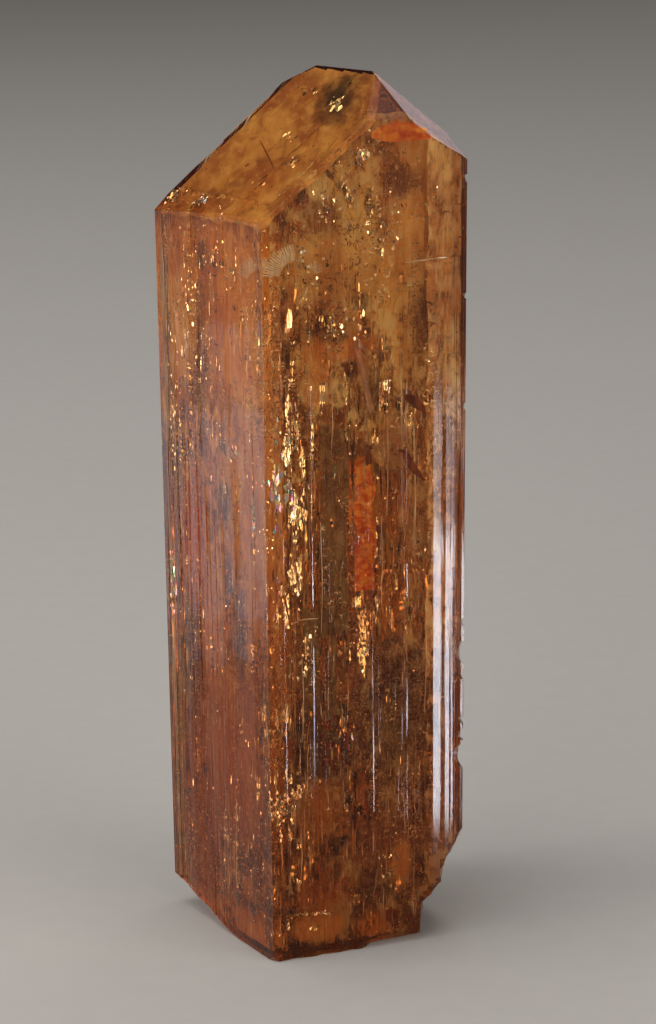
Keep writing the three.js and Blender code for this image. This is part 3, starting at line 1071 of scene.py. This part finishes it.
class Scraps:
    """Crumpled sheets, chips and strands gathered into one piece."""

    def __init__(self):
        self.points = []
        self.faces = []

    def curtain(self, seed, edges, cells, gap, crumple, grain, fray, fine=0.5):
        """A torn sheet from a corner, along two edges; the gap says how much is missing."""
        corner, across, up = edges
        wide, tall = cells
        normal = across.cross(up).normalized()
        shift = Vector((seed * 1.7, seed * 2.9, seed * 0.7))
        grid = np.zeros((tall + 1, wide + 1, 3))
        kept = np.zeros((tall + 1, wide + 1), bool)
        for j, i in np.ndindex(kept.shape):
            s = i / wide
            t = j / tall
            rise = t * up.length
            q = Vector((s * across.length * grain[0], rise * grain[1], 0)) + shift
            rumple = noise.noise(q * 1.9) + fine * noise.noise(q * 5.3)
            wander = 0.5 * noise.noise(Vector((rise * 0.35, 0, 0)) + shift)
            grid[j, i] = corner + across * s + up * t + normal * (crumple * rumple)
            grid[j, i] += np.array(across.normalized()) * crumple * wander
            rim = min(s, 1 - s, 3 * t, 3 * (1 - t)) * 2
            kept[j, i] = noise.noise(q * 1.3 + shift) > gap + fray * (1 - min(rim * 2, 1)) * 2
        kept &= within(grid.reshape(-1, 3), 0.0).reshape(kept.shape)
        number = {}
        for j, i in np.ndindex(tall, wide):
            ring = ((j, i), (j, i + 1), (j + 1, i + 1), (j + 1, i))
            if not all(kept[r] for r in ring):
                continue
            for r in ring:
                if r not in number:
                    number[r] = len(self.points)
                    self.points.append(tuple(grid[r]))
            self.faces.append(tuple(number[r] for r in ring))

    def sheet(self, seed, place, cell, *look):
        """A curtain over a patch behind a face, in cells of a width and a height."""
        edges = patch(*place)
        cells = [int(edge.length / size) for edge, size in zip(edges[1:], cell)]
        self.curtain(seed, edges, cells, *look)

    def burst(self, seed, centre, reach, count, size, way, loose, tall=1.5):
        """A cluster of small chips around a point, most of them turned the same way."""
        rng = random.Random(seed)
        for _ in range(count):
            spot = centre + Vector([rng.gauss(0, 0.4) * r for r in reach])
            _, side, top = leaning(way, [rng.gauss(0, loose) for _ in range(3)])
            r = size * rng.uniform(0.3, 1.0)
            corners = rng.randint(3, 5)
            ring = []
            for k in range(corners):
                a = FULL_TURN * (k + rng.uniform(-0.3, 0.3)) / corners
                ring.append(spot + side * (math.cos(a) * r) + top * (math.sin(a) * r * tall))
            if within(np.array(ring), -0.1).all():
                self.plate(ring)

    def bursts(self, face, depth, rows, tall=1.5):
        """Clusters behind an upright face: seed, along, height, reach, count and size."""
        for seed, along, height, reach, count, size in rows:
            self.burst(seed, under(face, along, height, depth), reach, count, size, face, 0.2, tall)

    def plate(self, outline):
        first = len(self.points)
        self.points += [tuple(p) for p in outline]
        self.faces.append(tuple(range(first, first + len(outline))))

    def strand(self, path, thick):
        """A thin three-sided strand through a list of points, pointed at its ends."""
        rings = []
        for k, p in enumerate(path):
            run = (path[min(k + 1, len(path) - 1)] - path[max(k - 1, 0)]).normalized()
            side = run.cross(Vector((0.3, 1, 0.2))).normalized()
            other = run.cross(side)
            r = thick * (0.35 + 0.65 * math.sin(math.pi * (k + 0.3) / (len(path) - 0.4)))
            rings.append([len(self.points) + n for n in range(3)])
            for a in (0.0, 2.094, 4.189):
                self.points.append(tuple(p + (side * math.cos(a) + other * math.sin(a)) * r))
        for low, high in zip(rings, rings[1:]):
            for i in range(3):
                j = (i + 1) % 3
                self.faces.append((low[i], low[j], high[j], high[i]))
        self.faces.append(tuple(rings[0]))
        self.faces.append(tuple(reversed(rings[-1])))

    def strands(self, face, depth, thick, lines):
        """Strands behind an upright face, each through places along it and their heights."""
        for line in lines:
            self.strand(bent([under(face, *place, depth) for place in line]), thick)

    def piece(self, name, material, soft=False):
        to_piece(name, self.points, self.faces, material, soft)


def crown_veil(cloudy):
    """A healed crack close under the big face of the tip, which makes it cloudy."""
    normal = normal_of(*CROWN["big"][:2])
    level = facing(CROWN["big"][0] + 90).to_3d()
    rise = normal.cross(level).normalized()
    corner = Vector((0.5, 9.5, 54.2)) - level * 10 - rise * 11 - normal * 0.55
    veil = Scraps()
    veil.curtain(200, (corner, level * 20, rise * 22), (110, 120), -0.75, 0.2, (0.3, 0.3), 0.0)
    veil.piece("crown_veils", cloudy, True)


def side_hazes_and_painted_light(films):
    """Fine healed hazes behind the upright faces, soft at their edges, with painted sheen, glow and
    glints in their colour.
    """
    for name, *place in (
            ("left_haze", "left", 0.1, 14.4, 0.1, 51.0, 1.5),
            ("right_haze", "right", 0.1, 13.4, 0.1, 56.5, 1.7),
            ("bevel_haze", "bevel", 0.0, 3.4, 0.2, 55.0, 0.8),
            ("deep_haze", "right", 0.1, 14.4, 0.1, 56.5, 5.5)):
        corner, across, up = patch(*place)
        if name == "bevel_haze":
            corner += corners_at(place[3])[1].to_3d()
        cells = (int(across.length / 0.16), int(up.length / 0.3))
        haze = Scraps()
        haze.curtain(202, (corner, across, up), cells, -2.0, 0.25, (0.8, 0.3), 0.0, 0.4)
        haze.piece(name, films[name + "_film"], True)


def fill(films):
    """The fine growth channels and healed specks that fill the whole crystal."""
    for name, kind, seed, count, width, length, top, clump, shell in (
            ("cream_threads", "cream", 11, 4000, 0.045, 2.2, 47.0, (0.7, 0.2, 0.26), 0),
            ("gold_threads", "golden", 12, 6000, 0.05, 2.2, 48.0, (0.6, 0.2, 0.18), 0),
            ("gold_slivers", "golden", 22, 6000, 0.1, 2.6, 46.0, (0.6, 0.2, 0.26), 5.0),
            ("pale_silk", "pale", 24, 3600, 0.036, 10.0, 47.0, (0.6, 0.03, 0.1), 2.2),
            ("amber_threads", "amber", 13, 2400, 0.08, 4.0, 45.0, (0.5, 0.06, 0.15), 0),
            ("umber_threads", "umber", 14, 3000, 0.05, 2.4, 40.0, (0.5, 0.1, 0.25), 0)):
        mid = throughout(seed, count, 0.5, top, clump, shell)
        threads(name, films[kind + "_film"], seed, mid, width, length)
    for name, kind, seed, count, size, low, high, clump, tall in (
            ("cream_specks", "cream", 15, 12000, 0.08, 0.5, 57.0, (0.6, 0.3, 0.15), 1.4),
            ("gold_specks", "golden", 16, 12000, 0.12, 0.5, 58.0, (0.5, 0.3, 0.15), 1.4),
            ("gold_plates", "golden", 25, 2600, 0.26, 42.0, 57.5, (0.35, 0.35, 0.15), 1.1)):
        mid = throughout(seed, count, low, high, clump)
        specks(name, films[kind + "_film"], seed, mid, size, tall)
    for name, kind, seed, face, count, size, high, deepest, clump, tall in (
            ("right_glints", "cream_film", 31, "right", 7000, 0.06, 57.0, 1.8, (0.9, 0.5, 0.1), 1.2),
            ("right_motes", "golden_dust", 32, "right", 9000, 0.08, 57.0, 1.9, (0.8, 0.5, 0.1), 1.2),
            ("right_dots", "chalky_film", 33, "right", 9000, 0.045, 57.0, 1.2, (0.6, 0.35, 0.05), 1.1),
            ("left_glints", "cream_film", 34, "left", 6000, 0.06, 50.5, 1.2, (0.9, 0.5, 0.15), 1.3),
            ("left_motes", "golden_dust", 35, "left", 9000, 0.08, 50.5, 1.3, (0.8, 0.4, 0.1), 1.2),
            ("left_dots", "chalky_film", 36, "left", 8000, 0.045, 50.5, 1.0, (0.6, 0.35, 0.05), 1.1)):
        mid = close_behind(seed, face, count, 0.5, high, deepest, clump)
        specks(name, films[kind], seed, mid, size, tall)
    for name, seed, face, count, size, low, high, deepest, clump in (
            ("right_curls", 41, "right", 5200, 0.2, 34.0, 57.0, 2.0, (0.5, 0.4, 0.05)),
            ("right_shavings", 42, "right", 4200, 0.15, 0.5, 36.0, 1.8, (0.6, 0.25, 0.1)),
            ("left_curls", 43, "left", 2600, 0.17, 36.0, 50.5, 1.4, (0.5, 0.4, 0.05)),
            ("left_shavings", 44, "left", 3600, 0.13, 0.5, 38.0, 1.3, (0.6, 0.2, 0.1))):
        mid = close_behind(seed, face, count, low, high, deepest, clump)
        curls(name, films["silky_film"], seed, mid, size)
    for name, kind, seed, face, count, width, length, high, deepest, clump in (
            ("right_streaks", "pale", 37, "right", 1800, 0.035, 2.4, 44.0, 1.6, (0.8, 0.12, 0.1)),
            ("left_streaks", "pale", 38, "left", 1200, 0.035, 2.2, 50.0, 1.1, (0.8, 0.1, 0.15)),
            ("left_glimmer", "cream", 39, "left", 1200, 0.04, 1.2, 50.0, 1.1, (0.8, 0.12, 0.2))):
        mid = close_behind(seed, face, count, 0.5, high, deepest, clump)
        threads(name, films[kind + "_film"], seed, mid, width, length)


def veils(silk, umber):
    """Torn healed cracks that stand upright through the crystal."""
    light = Scraps()
    for i, (*place, gap) in enumerate([
            ("right", 0.3, 6.0, 22.0, 40.0, 2.6, 0.5, 0.16),
            ("right", 6.0, 12.0, 20.0, 40.0, 3.0, 0.3, 0.16),
            ("right", 4.0, 12.5, 34.0, 46.0, 3.6, 0.2, 0.16),
            ("left", 6.5, 13.8, 28.0, 47.0, 4.6, -2.8, 0.22)]):
        light.sheet(60 + i, (*place, 0.12), (0.1, 0.34), gap, 0.36, (1.9, 0.26), 0.1, 0.35)
    light.piece("gold_veils", silk, True)
    dark = Scraps()
    place = ("right", 3.0, 11.8, 2.0, 18.0, 3.4, 0.5, 0.12)
    dark.sheet(72, place, (0.1, 0.14), 0.16, 0.36, (1.3, 0.8), 0.1, 0.35)
    dark.piece("umber_veils", umber, True)


FOIL_CELL = (0.06, 0.11)


def foil(cream):
    """Crumpled bright foil along the front edge, and clusters of bright chips."""
    bright = Scraps()
    for k, (first, last, low, high, gap) in enumerate([
            (0.5, 1.8, 34.0, 43.5, 0.06), (1.0, 2.5, 30.0, 40.0, 0.08),
            (1.4, 2.8, 24.8, 34.0, 0.06), (0.3, 1.4, 23.0, 31.0, 0.1),
            (1.2, 2.4, 26.0, 33.5, 0.0), (0.4, 1.2, 33.0, 38.0, 0.06),
            (2.8, 4.0, 34.0, 42.5, 0.1), (5.2, 6.2, 33.0, 40.0, 0.12),
            (4.0, 5.4, 15.0, 21.5, 0.14), (7.4, 8.6, 22.0, 34.0, 0.14),
            (0.2, 1.8, 12.0, 20.0, 0.12), (9.4, 10.6, 33.0, 42.0, 0.16)]):
        place = ("right", first, last, low, high, 0.5 + 0.1 * k, 0.0, 0.14)
        bright.sheet(k + 1, place, FOIL_CELL, gap - 0.02, 0.28, (1.4, 0.32), 0.12, 0.3)
    for k, span in enumerate([(1.0, 2.6, 7.6, 12.6), (-0.2, 1.6, 8.2, 11.6),
                              (1.5, 2.0, 4.4, 6.6), (7.9, 8.8, 36.9, 39.2)]):
        place = ("right", *span, 0.5, 0.2, 0.14)
        bright.sheet(k + 21, place, FOIL_CELL, -0.02, 0.22, (1.8, 0.5), 0.1, 0.3)
    teardrop = [(1.3, 43.2), (1.62, 43.2), (1.7, 43.9), (1.62, 44.4), (1.42, 44.5), (1.3, 44.0)]
    bright.plate([under("right", a, h, 0.3 + 0.16 * (h - 43.2)) for a, h in teardrop])
    bright.burst(1, behind(-6.8, 13.2, 50.0, 0.3), (1.1, 1.5, 0.7), 300, 0.15, "big", 0.35)
    bright.burst(2, behind(-4.6, 9.2, 50.2, 0.3), (0.9, 1.1, 0.5), 90, 0.12, "big", 0.3)
    bright.bursts("right", 0.6, [
        (3, 6.6, 54.2, (0.7, 0.4, 0.7), 70, 0.16), (4, 5.9, 51.6, (0.4, 0.4, 0.8), 40, 0.13),
        (5, 0.3, 10.4, (1.2, 0.4, 1.8), 130, 0.13), (6, 1.03, 2.1, (0.15, 0.2, 0.25), 12, 0.14),
        (7, 2.87, 1.75, (0.2, 0.2, 0.25), 14, 0.14), (8, 3.4, 2.75, (2.6, 0.2, 0.08), 80, 0.1),
        (9, 12.2, 51.0, (0.5, 0.3, 1.5), 40, 0.1), (10, 4.3, 51.0, (1.4, 0.6, 1.6), 60, 0.14),
        (41, 8.5, 49.0, (2.6, 0.8, 2.4), 90, 0.13), (42, 2.6, 47.6, (2.0, 0.8, 1.4), 60, 0.13),
        (43, 6.0, 43.5, (3.0, 0.8, 2.0), 90, 0.13), (44, 6.8, 21.0, (0.6, 0.4, 2.6), 50, 0.12),
        (45, 2.4, 21.0, (1.6, 0.6, 3.0), 60, 0.13), (46, 8.4, 5.2, (0.7, 0.5, 1.4), 50, 0.12)])
    bright.bursts("left", 0.5, [
        (51, 10.5, 44.0, (1.4, 1.4, 3.0), 60, 0.12), (52, 13.6, 35.0, (0.5, 0.8, 5.0), 60, 0.12),
        (53, 6.9, 6.2, (0.3, 0.3, 3.6), 50, 0.12), (54, 5.2, 5.4, (0.3, 0.3, 4.2), 50, 0.12),
        (55, 2.1, 30.5, (0.2, 0.2, 3.0), 40, 0.12), (56, 14.5, 10.0, (0.5, 0.6, 4.0), 40, 0.12)])
    bright.piece("cream_foil", cream, True)


def gilding(gold):
    """Gold sheen: the flame, the rectangle, the strokes and the flakes under the tip."""
    glow = Scraps()
    for k, (*span, gap) in enumerate([
            (6.0, 7.0, 19.6, 26.4, -0.1), (6.2, 7.0, 20.5, 25.0, -0.1),
            (7.9, 8.6, 37.1, 39.2, -0.3), (7.3, 7.8, 35.0, 37.2, -0.2),
            (5.55, 5.85, 26.5, 34.5, -0.1), (4.9, 5.6, 43.0, 44.6, 0.0),
            (8.9, 9.6, 3.2, 6.6, 0.0), (2.2, 5.4, 42.4, 44.0, 0.02)]):
        place = ("right", *span, 0.45 + 0.1 * k, 0.0, 0.15)
        glow.sheet(k + 31, place, (0.07, 0.11), gap, 0.2, (1.5, 0.4), 0.12, 0.3)
    for k, span in enumerate([
            (5.3, 8.9, 45.6, 47.0), (3.0, 6.0, 46.0, 46.7), (12.0, 12.9, 32.0, 46.0),
            (13.9, 14.5, 28.0, 41.0), (10.7, 11.4, 33.0, 44.0), (7.9, 8.6, 17.0, 26.0),
            (2.2, 3.0, 18.0, 30.0)]):
        place = ("left", *span, 0.8, -0.3, 0.15)
        glow.sheet(k + 41, place, (0.07, 0.1), 0.02, 0.15, (1.0, 1.6), 0.1, 0.3)
    for seed, spot, reach, count, size in [
            (11, (5.5, 9.84, 58.06), (0.3, 0.4, 0.2), 14, 0.34),
            (12, (4.3, 8.2, 56.8), (1.0, 1.4, 0.5), 46, 0.24),
            (13, (1.6, 5.0, 53.6), (0.9, 1.1, 0.5), 50, 0.2),
            (14, (1.2, 8.8, 54.6), (1.6, 2.2, 0.6), 50, 0.14),
            (15, (2.9, 13.0, 57.2), (1.8, 2.8, 0.3), 40, 0.16),
            (16, (-0.4, 5.2, 51.9), (1.2, 1.6, 0.5), 40, 0.13)]:
        glow.burst(seed, behind(*spot, 0.6), reach, count, size, "big", 0.2)
    glow.piece("gold_foil", gold, True)


def plates(vermilion, olive, milky):
    """Smooth coloured plates that stand in the crystal, and olive sheets of painted shade for the dark
    background seen through clear windows.
    """
    red = Scraps()
    edges = patch("right", 6.0, 7.6, 25.0, 34.2, 0.8, 0.0, 0.1)
    red.curtain(51, edges, (30, 90), -0.45, 0.14, (0.9, 0.3), 0.25, 0.3)
    lens = [(7.3, 55.3), (8.6, 54.9), (10.2, 54.9), (11.6, 55.0), (11.3, 55.6), (10.3, 56.1),
            (9.1, 56.3), (8.1, 56.0), (7.4, 55.7)]
    red.plate([under("right", *place, 0.5) for place in lens])
    red.piece("red_plates", vermilion)

    # Painted shade: olive sheets where clear windows would show a dark background through the crystal.
    window = Scraps()
    for k, span in enumerate([(3.6, 5.7, 22.0, 36.6), (2.3, 4.7, 12.0, 24.4)]):
        edges = patch("right", *span, 1.3)
        window.curtain(54 + k, edges, (40, 70), -0.5, 0.1, (1.6, 0.12), 0.3, 0.3)
    window.piece("painted_backdrop_windows", olive)

    pale = Scraps()
    blade = [(6.0, 41.9, 0.9), (6.4, 42.0, 0.9), (7.5, 37.3, 0.4), (7.2, 36.9, 0.4)]
    pale.plate([under("right", *place) for place in blade])
    edges = patch("right", 9.4, 12.8, 41.5, 46.9, 2.6)
    pale.curtain(58, edges, (40, 50), -0.1, 0.1, (1.4, 0.3), 0.3, 0.3)
    pale.piece("milky_plates", milky)


def dark_marks(rust):
    """Dark hooks, a hair and stains."""
    dark = Scraps()
    dark.strands("right", 0.4, 0.2, [
        [(9.7, 38.0), (10.4, 37.8), (11.0, 37.1), (11.16, 36.4)],
        [(9.75, 37.85), (10.3, 37.5), (10.9, 36.9)],
        [(9.33, 34.4), (9.9, 34.0), (10.5, 33.0), (11.17, 32.1)],
        [(9.5, 34.2), (10.1, 33.2), (10.8, 32.4)],
        [(2.3, 35.6), (2.5, 35.4), (2.7, 35.5)],
        [(1.2, 15.4), (1.35, 14.6), (1.3, 13.6)]])
    hair = [(-0.67, 11.46, 54.0), (-0.1, 8.46, 53.4), (0.4, 5.65, 52.8)]
    dark.strand(bent([behind(*p, 0.4) for p in hair]), 0.06)
    for k, (*place, gap) in enumerate([
            ("right", 6.9, 7.4, 33.4, 35.0, 0.8, -0.3),
            ("right", 3.4, 6.2, 12.6, 16.6, 1.2, -0.15),
            ("right", 8.2, 9.4, 0.8, 2.2, 0.9, -0.1),
            ("left", 8.6, 9.7, 46.2, 47.9, 0.7, -0.1),
            ("right", 5.4, 12.0, 2.6, 13.5, 2.0, 0.1),
            ("left", 5.8, 6.8, 28.6, 30.4, 0.8, -0.1),
            ("left", 4.6, 6.8, 33.6, 34.8, 0.8, 0.0),
            ("right", 9.0, 10.4, 55.3, 55.9, 0.8, 0.0)]):
        dark.sheet(k + 71, (*place, 0.2), (0.08, 0.1), gap, 0.2, (1.6, 1.0), 0.2)
    dark.piece("dark_marks", rust)


def pale_ribs(chalk):
    """Fan-shaped ribs of shell breaks, and the straight pale lines."""
    fans = Scraps()
    for face, centre, inner, outer, first, last, ribs in (
            ("right", (1.95, 46.6), (1.1, 1.0), (2.3, 2.1), 95, 175, 17),
            ("right", (2.9, 46.5), (0.5, 0.5), (1.1, 1.1), 20, 80, 7),
            ("left", (0.6, 46.0), (1.9, 1.0), (3.5, 1.9), 15, 85, 13),
            ("left", (4.2, 33.4), (0.9, 0.6), (1.5, 1.1), 20, 150, 9)):
        for k in range(ribs):
            a = math.radians(first + (last - first) * k / (ribs - 1))
            near, far = (under(face, centre[0] + math.cos(a) * reach[0],
                               centre[1] + math.sin(a) * reach[1], depth)
                         for reach, depth in ((inner, 0.45), (outer, 0.3)))
            fans.strand(bent([near, (near + far) / 2, far], 2), 0.07)
    fans.strands("right", 0.4, 0.045, [
        [(9.7, 46.9), (11.2, 47.0), (12.8, 47.05)], [(1.5, 23.3), (2.4, 23.5), (3.4, 23.44)],
        [(2.0, 8.6), (2.1, 7.0), (2.0, 5.4)]])
    fans.strands("left", 0.35, 0.045, [
        [(6.9, 10.0), (6.95, 6.0), (7.0, 2.1)], [(5.1, 9.8), (5.25, 5.0), (5.3, 0.9)],
        [(2.05, 33.6), (2.1, 30.5), (2.2, 27.4)], [(14.4, 34.3), (14.5, 33.4), (14.6, 32.6)],
        [(11.5, 41.0), (11.6, 37.5), (11.4, 34.2)], [(8.2, 27.0), (8.3, 24.0), (8.4, 21.0)],
        [(12.6, 22.0), (12.7, 19.0), (12.6, 16.0)], [(10.2, 31.0), (10.3, 28.6), (10.2, 26.0)]])
    fans.strands("right", 0.35, 0.035, [
        [(8.4, 38.0), (8.5, 34.0), (8.4, 30.0)], [(9.4, 41.0), (9.5, 37.0), (9.5, 33.5)],
        [(10.4, 36.0), (10.5, 31.0), (10.4, 27.0)], [(4.4, 40.0), (4.5, 37.0), (4.4, 34.6)],
        [(3.6, 30.0), (3.7, 26.0), (3.6, 22.4)], [(8.0, 30.0), (8.1, 27.0), (8.0, 24.0)],
        [(11.2, 24.0), (11.3, 20.0), (11.2, 16.0)], [(2.2, 21.0), (2.3, 18.0), (2.2, 15.0)]])
    fans.piece("pale_ribs", chalk)


def rainbow_flecks(rainbow):
    """Chips of air film near the surface, which split the light into colours."""
    shine = Scraps()
    shine.bursts("right", 0.3, [
        (81, 0.7, 33.4, (0.7, 0.3, 4.0), 120, 0.16), (82, 4.6, 33.3, (0.2, 0.2, 1.8), 36, 0.152),
        (83, 1.5, 32.0, (0.3, 0.2, 1.4), 40, 0.16), (84, 2.83, 32.7, (0.3, 0.2, 0.6), 24, 0.176),
        (85, 6.6, 41.7, (0.3, 0.2, 1.0), 22, 0.128), (86, 1.2, 10.5, (0.8, 0.2, 0.8), 26, 0.128),
        (87, 5.8, 14.5, (0.3, 0.2, 0.8), 14, 0.12), (88, -0.1, 10.9, (0.3, 0.2, 0.5), 14, 0.144),
        (89, 0.8, 25.5, (0.5, 0.3, 3.0), 26, 0.112), (90, 6.7, 54.0, (0.5, 0.2, 0.5), 14, 0.12),
        (91, 2.0, 36.0, (0.6, 0.3, 2.0), 20, 0.104)], 3.2)
    shine.bursts("left", 0.3, [
        (92, 2.1, 30.5, (0.2, 0.2, 3.6), 26, 0.15), (93, 14.3, 23.4, (0.4, 0.3, 3.4), 40, 0.17),
        (94, 5.2, 34.0, (1.0, 0.3, 0.8), 20, 0.14), (95, -0.2, 8.6, (0.8, 0.3, 1.2), 26, 0.15)], 2.4)
    shine.burst(96, behind(-4.6, 9.2, 50.2, 0.3), (0.6, 0.8, 0.3), 20, 0.14, "big", 0.2)
    shine.piece("rainbow_flecks", rainbow)


def inner_world():
    """All that shows inside the crystal: its healed cracks, foils, plates and marks, with painted
    sheen, glow, glints and shade among them.
    """
    films = {name: film(name, *look) for name, look in FILMS.items()}
    films.update({name: haze_and_painted_light_film(name, *look) for name, look in HAZES_AND_PAINTED_LIGHT.items()})
    crown_veil(cloudy_film())
    side_hazes_and_painted_light(films)
    fill(films)
    veils(films["silky_film"], films["umber_film"])
    foil(films["cream_film"])
    gilding(films["golden_film"])
    plates(films["vermilion_film"], films["painted_backdrop_film"], films["milky_film"])
    dark_marks(films["rust_film"])
    pale_ribs(films["chalky_film"])
    rainbow_flecks(rainbow_film())


# ---- Floor, light and camera ----

LOOKS_DOWN = math.radians(13.588)
ROLL = math.radians(-0.261)
AIM = Vector((3.776, 0.0, 31.068))
STANDS_BACK = 234.84
LENS = 126.05

WHITE = (1.0, 1.0, 1.0)
COOL = (0.62, 0.76, 1.0)
OPEN = 180
GRIDDED = 50
# Soft boxes: where, towards, size, power, tint, and the angle that they light.
BOXES = {
    "overhead": ((-0.1, 0.05, 0.6), (-0.1, 0.05, 0.0), (0.5, 0.5), 1.9, WHITE, OPEN),
    "top_card": ((0.21, 0.38, 0.67), (0, 0, 0.05), (0.2, 0.2), 0.09, (1.0, 0.7, 0.66), OPEN),
    "back_card": ((0.27, 0.74, 0.14), (0, 0, 0.05), (0.2, 0.2), 0.08, (1.0, 0.85, 0.9), OPEN),
    "side_card": ((-0.68, -0.12, 0.22), (0, 0, 0.03), (0.4, 0.38), 2.4, WHITE, OPEN),
    "key": ((-0.45, -0.5, 0.21), (0, 0, 0.03), (0.8, 0.36), 3.8, WHITE, OPEN),
    "fill": ((0.5, -0.4, 0.19), (0, 0, 0.03), (0.6, 0.32), 2.6, WHITE, OPEN),
    "right_strip": (
        (0.029, -0.004, 0.0125), (0.0, -0.004, 0.0195), (0.020, 0.021), 0.0019, COOL, GRIDDED),
    "right_high": (
        (0.031, -0.004, 0.0275), (0.0, -0.004, 0.035), (0.020, 0.012), 0.00032, COOL, GRIDDED),
    "left_strip": (
        (-0.063, 0.036, 0.014), (0.0, 0.0, 0.031), (0.014, 0.030), 0.00004, COOL, GRIDDED),
    "left_low": (
        (-0.065, 0.037, 0.012), (0.0, 0.0, 0.029), (0.018, 0.018), 0.00003, COOL, GRIDDED),
}


def floor():
    work = bmesh.new()
    bmesh.ops.create_grid(work, x_segments=1, y_segments=1, size=3.0)
    ground = put_work("floor", work)
    paint = Paint("floor_paper")
    tooth = paint.cloud((0.5, 0.5, 0.5), 2.0)
    tint = paint.layers(colour(178, 173, 166), (tooth, colour(184, 179, 172)))
    ground.data.materials.append(paint.finish({"Base Color": tint, "Roughness": 0.8}))


def soft_box(name, where, towards, size, power, tint, spread):
    light = bpy.data.lights.new(name, "AREA")
    light.shape = "RECTANGLE"
    light.size, light.size_y = size
    light.energy = power
    light.color = tint
    light.spread = math.radians(spread)
    lamp = put(name, light)
    lamp.location = where
    lamp.rotation_euler = (Vector(towards) - Vector(where)).to_track_quat("-Z", "Y").to_euler()


def camera():
    back = Vector((0, -math.cos(LOOKS_DOWN), math.sin(LOOKS_DOWN)))
    data = bpy.data.cameras.new("camera")
    data.sensor_width = 36.0
    data.lens = LENS
    data.clip_start = 0.01
    view = put("camera", data)
    view.location = (AIM + TO_FRAME + back * STANDS_BACK) * MM
    turn = (-back).to_track_quat("-Z", "Y")
    view.rotation_euler = (turn @ Quaternion((0, 0, 1), ROLL)).to_euler()
    bpy.context.scene.camera = view


def studio():
    scene = bpy.context.scene
    scene.view_settings.view_transform = "Standard"
    scene.cycles.max_bounces = 20
    scene.cycles.transmission_bounces = 18
    scene.cycles.transparent_max_bounces = 12
    scene.world = bpy.data.worlds.new("studio")
    scene.world.use_nodes = True
    sky = scene.world.node_tree.nodes["Background"].inputs
    sky["Color"].default_value = (0.55, 0.57, 0.6, 1)
    sky["Strength"].default_value = 0.06
    for name, look in BOXES.items():
        soft_box(name, *look)


body = crystal_body()
body.data.materials.clear()
body.data.materials.append(topaz())
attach(body, "root")
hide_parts("crystal")
inner_world()
floor()
studio()
camera()
